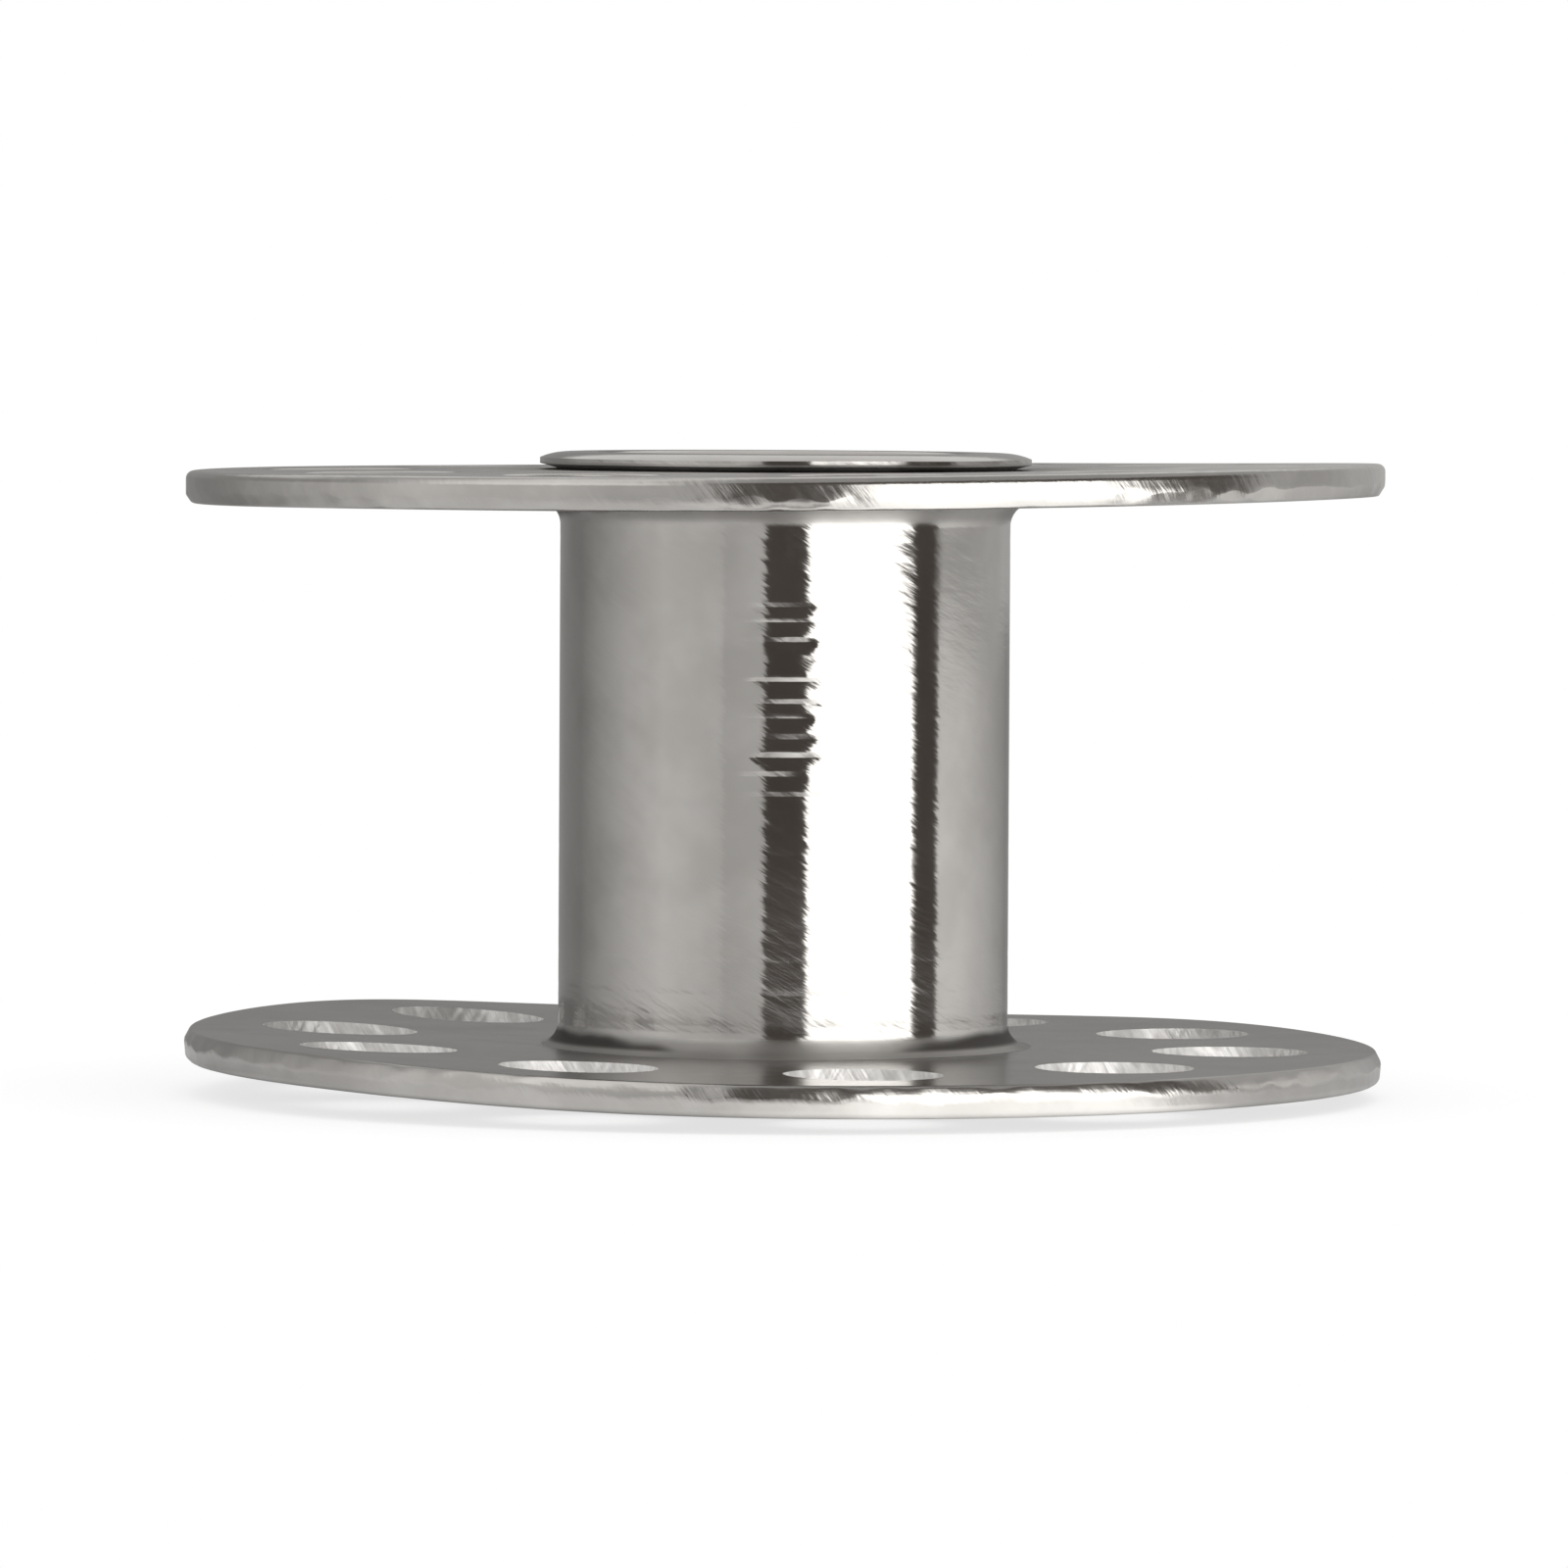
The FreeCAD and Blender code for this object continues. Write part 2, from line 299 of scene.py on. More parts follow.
# Marks in the plating: their shares of the relief, their slant for each millimetre of height, and the
# cells of their noise in a millimetre
SCRATCH_SHARE = 0.9
SCRATCH_SLANT = 1.8
SCRATCH_CELLS_ACROSS = 2.4
SCRATCH_CELLS_ALONG = 0.5
RING_SHARE = 0.1
RING_CELLS = (0.05, 0.05, 4.2)
PIT_SHARE = 0.2
PIT_RANGE = 0.74, 0.82
PEEL_SHARE = 0.5
SCORE_SHARE = 0.9
SCORE_SLANT = 0.8
SCORE_CELLS_UP = 0.3
STREAK_SLANT = 0.6
STREAK_CELLS = (5.0, 5.0, 0.5)
RUB_CELLS = (9.0, 9.0, 0.4)

# Dirt and painted shade in the tube's corners by the flanges: its strength, how uneven it is, how softly it
# starts, how far out on the fillet and past the flange's outer face it ends, and how its start leans with x
# at each end of the tube, as a slope and a set-back. One lean runs into the other near the middle, which is
# free of it.
TUBE_DIRT_AND_SHADE_STRENGTH = 0.85
TUBE_DIRT_AND_SHADE_WANDER = 0.3
TUBE_DIRT_AND_SHADE_EDGE = 0.1
TUBE_DIRT_AND_SHADE_REACH = 0.1, 0.2
TUBE_DIRT_AND_SHADE_END = 0.1, 0.15
LOWER_DIRT_AND_SHADE_LEAN = 0.12, 0.25
UPPER_DIRT_AND_SHADE_LEAN = -0.1, 0.35
DIRT_AND_SHADE_FREE = 1

# Dirt and painted shade on a flange round the tube: its strength, how uneven it is, how far past the hub it
# reaches, over what width it fades out, and how much more of both there is on the outer side, where it is
# painted shade under the lip
SHEET_DIRT_AND_SHADE_STRENGTH = 0.75
SHEET_DIRT_AND_SHADE_WANDER = 1.5
SHEET_DIRT_AND_SHADE_REACH = 0.1
SHEET_DIRT_AND_SHADE_FADE = 0.45
OUTER_PAINTED_SHADE_REACH = 1.1
OUTER_PAINTED_SHADE_FADE = 0.75


def two_tones(nodes, noise, tones):
    """A colour from one tone to another, by a noise."""
    return nodes.mix_colour(nodes.ramp(noise, *TONE_RANGE), *tones)


def finish_metal(nodes, colour, roughness, relief, depth, metallic=1.0, **more):
    """Joins a metal surface's colour, roughness and relief to its output. Depth is in millimetres."""
    bump = nodes.add("ShaderNodeBump", Strength=1.0, Distance=depth * MM, Height=relief)
    shader = nodes.add("ShaderNodeBsdfPrincipled", Base_Color=colour, Metallic=metallic, Roughness=roughness,
                       Normal=bump, **more)
    nodes.add("ShaderNodeOutputMaterial", Surface=shader)


def tube_dirt_and_shade(nodes, at, inside):
    """How much dirt and painted shade the tube has: in the corners, more to both sides below and more to the
    left above.
    """
    def lean(x, slope, set_back):
        return nodes.minus(nodes.times(x, slope), set_back)

    upper_end = nodes.ramp(at.z, MID_HEIGHT - DIRT_AND_SHADE_FREE, MID_HEIGHT + DIRT_AND_SHADE_FREE)
    leaning = nodes.spread(upper_end, lean(nodes.math("ABSOLUTE", at.x), *LOWER_DIRT_AND_SHADE_LEAN),
                           lean(at.x, *UPPER_DIRT_AND_SHADE_LEAN))
    wander = nodes.times(nodes.noise(at.point, scale=0.9, detail=1.0, roughness=0.5), TUBE_DIRT_AND_SHADE_WANDER)
    height = nodes.plus(at.off_middle, nodes.plus(wander, leaning))
    corner = nodes.ramp(height, HALF_WINDING - TUBE_DIRT_AND_SHADE_EDGE, HALF_WINDING + TUBE_DIRT_AND_SHADE_EDGE)
    start, end = TUBE_DIRT_AND_SHADE_REACH
    steep = nodes.ramp(at.radius, HUB_RADIUS + start, HUB_RADIUS + end, TUBE_DIRT_AND_SHADE_STRENGTH, 0.0)
    return nodes.times(nodes.times(corner, inside), steep)


def turned_plating():
    """Plating over a turned tube: slanted scratches, faint rings and pits, and dirt and painted shade in the
    corners.
    """
    material, nodes = new_material("turned_plating")
    at = place(nodes)
    across = nodes.plus(at.x, nodes.times(at.z, SCRATCH_SLANT))
    along = nodes.minus(nodes.times(at.x, SCRATCH_SLANT), at.z)
    scratched = nodes.add("ShaderNodeCombineXYZ", X=nodes.times(across, SCRATCH_CELLS_ACROSS), Y=at.y,
                          Z=nodes.times(along, SCRATCH_CELLS_ALONG))
    scratches = nodes.noise(scratched, roughness=0.55)
    rings = nodes.noise(nodes.vector("MULTIPLY", at.point, RING_CELLS), detail=2.0)
    pits = nodes.ramp(nodes.noise(at.point, scale=2.3, detail=2.0), *PIT_RANGE)
    relief = nodes.plus(nodes.times(scratches, SCRATCH_SHARE), nodes.times(rings, RING_SHARE))
    relief = nodes.minus(relief, nodes.times(pits, PIT_SHARE))

    start, end = TUBE_DIRT_AND_SHADE_END
    inside = nodes.ramp(at.off_middle, OUTER_FACE + start, OUTER_FACE + end, 1.0, 0.0)
    # Darker in the tube's corners by the flanges: dirt, and painted shade where a flange shades the tube
    dirt_and_shade = tube_dirt_and_shade(nodes, at, inside)
    colour = two_tones(nodes, nodes.noise(at.point, scale=0.5), TUBE_TONES)
    colour = nodes.mix_colour(dirt_and_shade, colour, TUBE_DIRT_AND_SHADE)
    roughness = nodes.spread(nodes.noise(at.point, scale=0.9), *TUBE_FINISH)
    roughness = nodes.plus(roughness, nodes.times(dirt_and_shade, TUBE_DIRT_AND_SHADE_FINISH))
    fillet = nodes.ramp(at.off_middle, FILLET_FOOT, HALF_WINDING - SHOULDER_FILLET / 2)
    roughness = nodes.plus(roughness, nodes.times(nodes.times(fillet, inside), FILLET_FINISH))
    around = nodes.add("ShaderNodeTangent", settings={"direction_type": "RADIAL", "axis": "Z"})
    finish_metal(nodes, colour, roughness, relief, TUBE_RELIEF, Tangent=around, Anisotropic=TUBE_ANISOTROPY,
                 Anisotropic_Rotation=TUBE_GRAIN_TURN)
    return material


def sheet_plating():
    """Plating over tumbled sheet: cloudy and uneven, scored across its sheared rim, darkened by the tube with
    dirt and painted shade.
    """
    material, nodes = new_material("sheet_plating")
    at = place(nodes)
    peel = nodes.noise(at.point, scale=1.3, roughness=0.55)
    around = nodes.times(nodes.math("ARCTAN2", at.y, at.x), FLANGE_RADIUS)
    slanted = nodes.plus(around, nodes.times(at.z, SCORE_SLANT))
    scored = nodes.add("ShaderNodeCombineXYZ", X=slanted, Y=nodes.times(at.z, SCORE_CELLS_UP))
    scores = nodes.noise(scored, scale=3.0)
    on_rim = nodes.ramp(at.radius, FLANGE_RADIUS - RIM_TEAR_DEPTH, FLANGE_RADIUS - RIM_TEAR_DEPTH / 2)
    relief = nodes.plus(nodes.times(peel, PEEL_SHARE), nodes.times(nodes.times(scores, on_rim), SCORE_SHARE))

    # Darker round the hub with dirt and painted shade, and further out on the outer side with painted shade
    # under the lip
    outer_side = nodes.ramp(at.off_middle, OUTER_FACE - HALF_SHEET, OUTER_FACE - SHEET / 4)
    reach = nodes.plus(nodes.times(outer_side, OUTER_PAINTED_SHADE_REACH), HUB_RADIUS + SHEET_DIRT_AND_SHADE_REACH)
    fade = nodes.plus(nodes.times(outer_side, OUTER_PAINTED_SHADE_FADE), SHEET_DIRT_AND_SHADE_FADE)
    wander = nodes.times(nodes.minus(nodes.noise(at.point, scale=0.7), NOISE_MEAN), SHEET_DIRT_AND_SHADE_WANDER)
    past = nodes.minus(nodes.plus(at.radius, wander), reach)
    dirt_and_shade = nodes.ramp(nodes.math("DIVIDE", past, fade), -1.0, 1.0, SHEET_DIRT_AND_SHADE_STRENGTH, 0.0)
    colour = two_tones(nodes, nodes.noise(at.point, scale=0.45, detail=4.0, roughness=0.62), SHEET_TONES)
    colour = nodes.mix_colour(dirt_and_shade, colour, SHEET_DIRT_AND_SHADE)
    roughness = nodes.spread(nodes.noise(at.point, scale=1.1), *SHEET_FINISH)
    roughness = nodes.plus(roughness, nodes.times(dirt_and_shade, SHEET_DIRT_AND_SHADE_FINISH))
    finish_metal(nodes, colour, roughness, relief, SHEET_RELIEF)
    return material


def torn_plating():
    """Plating over the part of the hole walls where the sheet tore: bright, with slanted streaks."""
    material, nodes = new_material("torn_plating")
    at = place(nodes)
    slant = nodes.add("ShaderNodeCombineXYZ", X=nodes.times(at.z, STREAK_SLANT))
    streaks = nodes.noise(nodes.vector("MULTIPLY", nodes.vector("ADD", at.point, slant), STREAK_CELLS))
    colour = two_tones(nodes, streaks, TORN_TONES)
    finish_metal(nodes, colour, TORN_FINISH, streaks, TORN_RELIEF, TORN_METALLIC)
    return material


def burnished_plating():
    """Plating over the part of the hole walls that the punch rubbed smooth, with fine upright lines."""
    material, nodes = new_material("burnished_plating")
    lines = nodes.noise(nodes.vector("MULTIPLY", place(nodes).point, RUB_CELLS))
    finish_metal(nodes, two_tones(nodes, lines, RUBBED_TONES), RUBBED_FINISH, lines, RUBBED_RELIEF)
    return material


# Marks that the turning tool left round the hub. Where it chattered, between two heights above the
# middle, they are close together and deep, and show only near a few lobes, one of them at an angle.
GROOVE_SEED = 11
GROOVE_RUN = 0.2
GROOVE_FALL = 0.08, 0.12
PLAIN_PITCH = 0.3, 0.8
PLAIN_DEPTH = 0.001, 0.003
MARKS_END = 0.7  # the first mark nearer than this to the upper flange is the last one
CHATTER_HEIGHTS = -1.1, 2.8
CHATTER_PITCH = 0.24, 0.4
CHATTER_DEPTH = 0.022, 0.034
CHATTER_LOBES = 3
CHATTER_ANGLE = math.radians(-92)

# How a mark's strength varies on the way round: its mean, its waves, how many degrees a lobe is off its
# angle, the cosines at which a lobe sets in and is full, and how many seeds there are to draw from
MARK_MEAN = 0.8
MARK_WAVE = 1.1
MARK_WAVES = range(3, 16, 2)
LOBE_SHIFT = -3, 3
LOBE_EDGE = 0.74, 0.9
LOBE_FULL = 0.97
MARK_SEEDS = 1000

# Rows of points on the hub: evenly spaced ones, those at shares of each mark's run and fall, and the
# least gap. Then the rows in the bore, and the columns of points round the core.
HUB_ROWS = 60
RUN_ROWS = (1.0, 0.5, 0.1)
FALL_ROWS = (0.0, 0.15, 0.85, 1.0)
ROW_GAP = 0.007
BORE_ROWS = 40
CORE_SEGMENTS = 256
ON_FACE = 1e-6  # points nearer than this to a flange's outer face lie on it

# How unevenly the lips were rolled: for the edge's reach and its lift, the seed that each end's ripple is
# counted from, how far the edge is moved on average and the ripple's waves. The lift takes effect in part.
LIP_REACH_SEED = 20
LIP_REACH = 0.04
LIP_REACH_WAVES = range(1, 8)
LIP_LIFT_SEED = 30
LIP_LIFT = 0.03
LIP_LIFT_WAVES = range(2, 7)
LIP_LIFT_SHARE = 0.4

# A turning mark: its height above the hub's middle, its depth, the run over which it deepens slowly, the
# short fall over which it comes back out, and its strength, a share of the depth by the angle
Groove = namedtuple("Groove", "height depth run fall strength")


def core_end():
    """The upper end of the core's section, from the fillet's foot over the lip to the bore."""
    relief = LIP_RADIUS - LIP_RELIEF_WIDTH
    edge_foot = OUTER_FACE + LIP_RELIEF_LIFT
    edge_top = edge_foot + LIP_EDGE_HEIGHT
    shoulder = HUB_RADIUS + SHOULDER_FILLET
    mouth = BORE_RADIUS + MOUTH_RADIUS
    run, fall = LIP_RADIUS - LIP_LAND, LIP_TOP - edge_top
    crown = (run**2 + fall**2) / (2 * fall)
    crown_start = math.degrees(math.acos(run / crown))
    return [
        *arc((shoulder, FILLET_FOOT), SHOULDER_FILLET, 180, 90, steps=14),
        *line((shoulder, HALF_WINDING), (NECK_RADIUS, HALF_WINDING), steps=2),
        *line((NECK_RADIUS, HALF_WINDING), (NECK_RADIUS, OUTER_FACE), steps=2),
        *line((NECK_RADIUS, OUTER_FACE), (relief, OUTER_FACE), steps=3),
        *line((relief, OUTER_FACE), (LIP_RADIUS, edge_foot), steps=6),
        *line((LIP_RADIUS, edge_foot), (LIP_RADIUS, edge_top), steps=3),
        *arc((LIP_LAND, LIP_TOP - crown), crown, crown_start, 90, steps=14),
        *line((LIP_LAND, LIP_TOP), (mouth, LIP_TOP), steps=4),
        *arc((mouth, LIP_TOP - MOUTH_RADIUS), MOUTH_RADIUS, 90, 180, steps=10),
        (BORE_RADIUS, LIP_TOP - MOUTH_RADIUS),
    ]


def mark_strength(seed, lobes):
    """How a turning mark fades in and out on the way round. A chattering one dies away between its lobes."""
    wave = ripple(seed, MARK_WAVES, MARK_WAVE)
    draw = random.Random(seed)
    middle = CHATTER_ANGLE + math.radians(draw.uniform(*LOBE_SHIFT))
    edge = draw.uniform(*LOBE_EDGE)

    def strength(angle):
        lobe = math.cos(lobes * (angle - middle))
        return min(max(MARK_MEAN + wave(angle), 0.0), 1.0) * smoothstep(edge, LOBE_FULL, lobe)

    return strength


def turning_grooves():
    """The turning marks, from the hub's foot up."""
    draw = random.Random(GROOVE_SEED)
    grooves = []
    height = -HALF_WINDING
    while height < HALF_WINDING - MARKS_END:
        chatter = CHATTER_HEIGHTS[0] < height < CHATTER_HEIGHTS[1]
        height += draw.uniform(*(CHATTER_PITCH if chatter else PLAIN_PITCH))
        depth = draw.uniform(*(CHATTER_DEPTH if chatter else PLAIN_DEPTH))
        strength = mark_strength(draw.randrange(MARK_SEEDS), CHATTER_LOBES if chatter else 0)
        grooves.append(Groove(height, depth, GROOVE_RUN, draw.uniform(*GROOVE_FALL), strength))
    return grooves


def groove_cut(height, angle, groove):
    """How deep a turning mark is at a point of the hub."""
    above = height - groove.height
    if not -groove.run < above < groove.fall:
        return 0.0
    share = 1 + above / groove.run if above <= 0 else 1 - above / groove.fall
    return groove.depth * share * groove.strength(angle)


def hub_rows(grooves):
    """Heights of the hub's rows of points, closer together across each turning mark."""
    rows = [lerp(-FILLET_FOOT, FILLET_FOOT, i / HUB_ROWS) for i in range(HUB_ROWS)]
    for groove in grooves:
        rows += [groove.height - groove.run * share for share in RUN_ROWS]
        rows += [groove.height + groove.fall * share for share in FALL_ROWS]
    kept = []
    for height in sorted(rows):
        if -FILLET_FOOT <= height < FILLET_FOOT and (not kept or height - kept[-1] > ROW_GAP):
            kept.append(height)
    return kept


def make_core(material):
    """The core tube: the solid's section, with turning marks round the hub and lips rolled unevenly."""
    grooves = turning_grooves()
    end = core_end()
    bore_end = LIP_TOP - MOUTH_RADIUS
    outline = [
        *[(HUB_RADIUS, height) for height in hub_rows(grooves)],
        *end,
        *line((BORE_RADIUS, bore_end), (BORE_RADIUS, -bore_end), BORE_ROWS)[1:],
        *[(radius, -height) for radius, height in reversed(end[1:])],
    ]
    lip_reach = {side: ripple(LIP_REACH_SEED + side, LIP_REACH_WAVES, LIP_REACH) for side in (-1, 1)}
    lip_lift = {side: ripple(LIP_LIFT_SEED + side, LIP_LIFT_WAVES, LIP_LIFT) for side in (-1, 1)}

    def shaped(radius, height, angle):
        side = 1 if height > 0 else -1
        if radius == HUB_RADIUS:
            radius -= sum(groove_cut(height, angle, groove) for groove in grooves)
        if abs(height) > OUTER_FACE + ON_FACE and radius > NECK_RADIUS:
            crown = smoothstep(LIP_LAND, LIP_RADIUS, radius)
            height += side * crown * LIP_LIFT_SHARE * (LIP_LIFT + lip_lift[side](angle))
            radius -= smoothstep(NECK_RADIUS, LIP_RADIUS, radius) * (LIP_REACH + lip_reach[side](angle))
        return radius, height

    rows = len(outline)
    vertices, faces = [], []
    for i in range(CORE_SEGMENTS):
        angle = FULL_TURN * i / CORE_SEGMENTS
        for point in outline:
            radius, height = shaped(*point, angle)
            vertices.append((*polar(radius, angle), MID_HEIGHT + height))
        after = (i + 1) % CORE_SEGMENTS
        for j in range(rows):
            k = (j + 1) % rows
            faces.append((i * rows + j, after * rows + j, after * rows + k, i * rows + k))
    return new_piece("core_turned", vertices, faces, [material])


# How a flange has been knocked out of flat: the degrees by which its rim's middle band leans in, how far
# the rim tilts up to the right and curls up at both sides, and its dents, each with its angle and width
# in degrees and its height
Bend = namedtuple("Bend", "lean tilt curl dents")
Dent = namedtuple("Dent", "angle width height")
LOWER_BEND = Bend(5, -0.155, 0.125, [Dent(139, 24, 0.18), Dent(42, 24, 0.11), Dent(-100, 30, -0.05)])
UPPER_BEND = Bend(0, 0.115, 0.06, [Dent(35, 30, -0.05)])

# Seeds of the ripples: of each flange, of its kinds of ripple beside its rim's wear, and of its holes
LOWER_SEED = 5
UPPER_SEED = 6
SHEET_WAVE_SEED = 50
RIM_TEAR_SEED = 70
HOLE_SEEDS = 100

# The sheet's own waves
SHEET_WAVE = 0.012
SHEET_WAVES = range(3, 8)

# The hole walls: how deep the tear reaches from the thread side, how much wider it is there, how rough it
# is, where it sets in about its end, and how many radians it slants for each millimetre of height
TEAR_DEPTH = 0.32
TEAR_END = HALF_SHEET - TEAR_DEPTH
TEAR_FLARE = 0.03
TEAR_ROUGHNESS = 0.06
TEAR_WAVES = range(9, 60)
TEAR_ONSET = -0.05, 0.1
TEAR_SLANT = 0.5

# The rim: how wide its own patch of the mesh is, how far its worn edge is softened, and how uneven its
# tear and its wear are
RIM_BAND = 0.2
RIM_START = FLANGE_RADIUS - RIM_BAND
RIM_SOFTENING = 0.04
RIM_TEAR_ROUGHNESS = 0.11
RIM_TEAR_WAVES = range(16, 96, 8)
RIM_WEAR = 0.02
RIM_WEAR_WAVES = range(3, 40)

# Where the rim's section has points, as shares of its worn edge, its torn slope and its middle band
EDGE_SHARES = (0, 0.25, 0.5, 0.75)
SLOPE_SHARES = (0.1, 0.5, 0.92)
BAND_SHARES = (0.08, 0.5, 0.94)

# Points along the sides of one hole's share of a flange, and where the loops of points between a hole
# and those sides are
RIM_STEPS = 80
SIDE_STEPS = 28
SEAT_STEPS = 28
LOOP_SHARES = (0.0, 0.05, 0.14, 0.28, 0.5, 0.75, 1.0)
SEAM = 0.0004  # points of neighbouring patches that are nearer than this are one

# Places of the materials on a flange
PLAIN, TORN, RUBBED = range(3)


def sector_border():
    """The edge of one hole's share of a flange, as (radius, angle) round it from the rim's first corner."""
    half = math.pi / HOLES
    return [
        *line((RIM_START, -half), (RIM_START, half), RIM_STEPS),
        *line((RIM_START, half), (SEAT_RADIUS, half), SIDE_STEPS),
        *line((SEAT_RADIUS, half), (SEAT_RADIUS, -half), SEAT_STEPS),
        *line((SEAT_RADIUS, -half), (RIM_START, -half), SIDE_STEPS),
    ]


def rim_section(tear_height, lean):
    """The rim's section, as (radius, height) from the thread side (up) down.

    The sheet's edge there is worn. Under it the torn band slopes out, the middle band leans in by some
    degrees, and the outer side is rounded.
    """
    corner = (FLANGE_RADIUS - RIM_TEAR_DEPTH, HALF_SHEET)
    face_end = (corner[0] - RIM_SOFTENING, HALF_SHEET)
    slope_end = (FLANGE_RADIUS, HALF_SHEET - tear_height)
    slope_start = between(corner, slope_end, RIM_SOFTENING / tear_height)
    set_back = math.tan(math.radians(lean)) * (SHEET - tear_height - RIM_ROUNDING)
    band_end = (FLANGE_RADIUS - set_back, RIM_ROUNDING - HALF_SHEET)
    outer = band_end[0] - RIM_ROUNDING
    return [
        (RIM_START, HALF_SHEET),
        *[curve(face_end, corner, slope_start, t) for t in EDGE_SHARES],
        slope_start,
        *[between(slope_start, slope_end, t) for t in SLOPE_SHARES],
        *[between(slope_end, band_end, t) for t in BAND_SHARES],
        *arc((outer, RIM_ROUNDING - HALF_SHEET), RIM_ROUNDING, 0, -90, steps=7),
        (outer, -HALF_SHEET),
        (RIM_START, -HALF_SHEET),
    ]


def hole_section():
    """A hole wall's section, as torn, rubbed and rounded stretches from the thread side (up) down."""
    mouth = HOLE_RADIUS + HOLE_ROUNDING
    rounding_start = HOLE_ROUNDING - HALF_SHEET
    torn = line((HOLE_RADIUS + TEAR_FLARE, HALF_SHEET), (HOLE_RADIUS, TEAR_END), steps=9)
    rubbed = line((HOLE_RADIUS, TEAR_END), (HOLE_RADIUS, rounding_start), steps=4)
    rounded = [*arc((mouth, rounding_start), HOLE_ROUNDING, 180, 270, steps=6), (mouth, -HALF_SHEET)]
    return torn, rubbed, rounded


def add_hole(work, turn, border, tear):
    """One hole's wall, and the sheet round it on both sides, out to the border of the hole's share."""
    centre = polar(HOLE_CIRCLE, turn)
    edge = [polar(radius, turn + angle) for radius, angle in border]
    aims = [math.atan2(y - centre[1], x - centre[0]) for x, y in edge]

    def ring(radius, z):
        rough = smoothstep(TEAR_END + TEAR_ONSET[0], TEAR_END + TEAR_ONSET[1], z)
        reach = [radius + rough * tear(aim + TEAR_SLANT * z) for aim in aims]
        return [(centre[0] + r * math.cos(a), centre[1] + r * math.sin(a), z) for r, a in zip(reach, aims)]

    torn, rubbed, rounded = hole_section()
    rings = [ring(radius, z) for radius, z in (*torn, *rubbed, *rounded)]
    rubbed_start, rounded_start = len(torn), len(torn) + len(rubbed)
    work.add(rings[:rubbed_start + 1], True, TORN)
    work.add(rings[rubbed_start:rounded_start + 1], True, RUBBED)
    work.add(rings[rounded_start:], True, PLAIN)
    for inner in (rings[0], rings[-1]):
        z = inner[0][2]
        loops = [[(*between(p, e, t), z) for p, e in zip(inner, edge)] for t in LOOP_SHARES]
        work.add(loops, True, PLAIN)


def add_rim(work, angles, tear, lean):
    """The rim, over some angles."""
    sections = [rim_section(RIM_TEAR_HEIGHT + tear(angle), lean) for angle in angles]
    rows = [[(*polar(r, a), z) for (r, z), a in zip(row, angles)] for row in zip(*sections)]
    work.add(rows, False, PLAIN)


def add_seat(work, angles):
    """The wall of the hole that the core's neck fills, over some angles."""
    rows = [[(*polar(SEAT_RADIUS, angle), z) for angle in angles] for z in (HALF_SHEET, -HALF_SHEET)]
    work.add(rows, False, PLAIN)


def make_flange(name, middle, turned_over, seed, bend, materials):
    """A flange: a punched sheet with torn hole walls. Its thread side is up unless it is turned over."""
    rim_wear = ripple(seed, RIM_WEAR_WAVES, RIM_WEAR)
    rim_tear = ripple(seed + RIM_TEAR_SEED, RIM_TEAR_WAVES, RIM_TEAR_ROUGHNESS)
    wave = ripple(seed + SHEET_WAVE_SEED, SHEET_WAVES, SHEET_WAVE)
    side = -1 if turned_over else 1
    border = sector_border()
    rim_end = RIM_STEPS + 1
    seat_start = RIM_STEPS + SIDE_STEPS
    seat_end = seat_start + SEAT_STEPS + 1
    work = Patchwork()
    for hole in range(HOLES):
        turn = HOLE_ANGLE + hole * FULL_TURN / HOLES
        add_hole(work, turn, border, ripple(seed * HOLE_SEEDS + hole, TEAR_WAVES, TEAR_ROUGHNESS))
        add_rim(work, [turn + angle for _, angle in border[:rim_end]], rim_tear, bend.lean)
        add_seat(work, [turn + angle for _, angle in border[seat_start:seat_end]])

    def dented(angle):
        """How far the dents lift the rim at an angle."""
        lift = 0.0
        for dent in bend.dents:
            away = math.remainder(angle - math.radians(dent.angle), FULL_TURN)
            lift += dent.height * math.exp(-((away / math.radians(dent.width)) ** 2))
        return lift

    def settled(x, y, z):
        """Bends the sheet a little, wears its rim and puts it in its place."""
        radius, angle = math.hypot(x, y), math.atan2(y, x)
        if radius > RIM_START:
            worn = 1 - smoothstep(RIM_START, FLANGE_RADIUS, radius) * max(0.0, rim_wear(angle)) / radius
            x, y = x * worn, y * worn
        lift = bend.tilt * math.cos(angle) + bend.curl * math.cos(angle) ** 2 + wave(angle)
        out = max(radius - HUB_RADIUS, 0.0) / (FLANGE_RADIUS - HUB_RADIUS)
        return x, y, middle + side * z + lift * out + dented(angle) * out**2

    placed = [settled(*vertex) for vertex in work.vertices]
    return new_piece(name, placed, work.faces, materials, work.face_materials, merge=SEAM)


# The photograph's view
EYE = Vector((0, -200, 13.1)) * MM
AIM = Vector((0, 0, 5.32)) * MM
FRAME_WIDTH = 26.85 * MM
ROLL = math.radians(0.3)
SENSOR_WIDTH = 36
NEAREST, FURTHEST = 0.01, 10

# Light: the world's strength as a lamp and as the white background, and the lamp
WORLD_LIGHT = 1.1
WHITE = 1.0
LAMP_PLACE = Vector((40, -60, 200)) * MM
LAMP_SIZE = 250 * MM
LAMP_ENERGY = 0.12

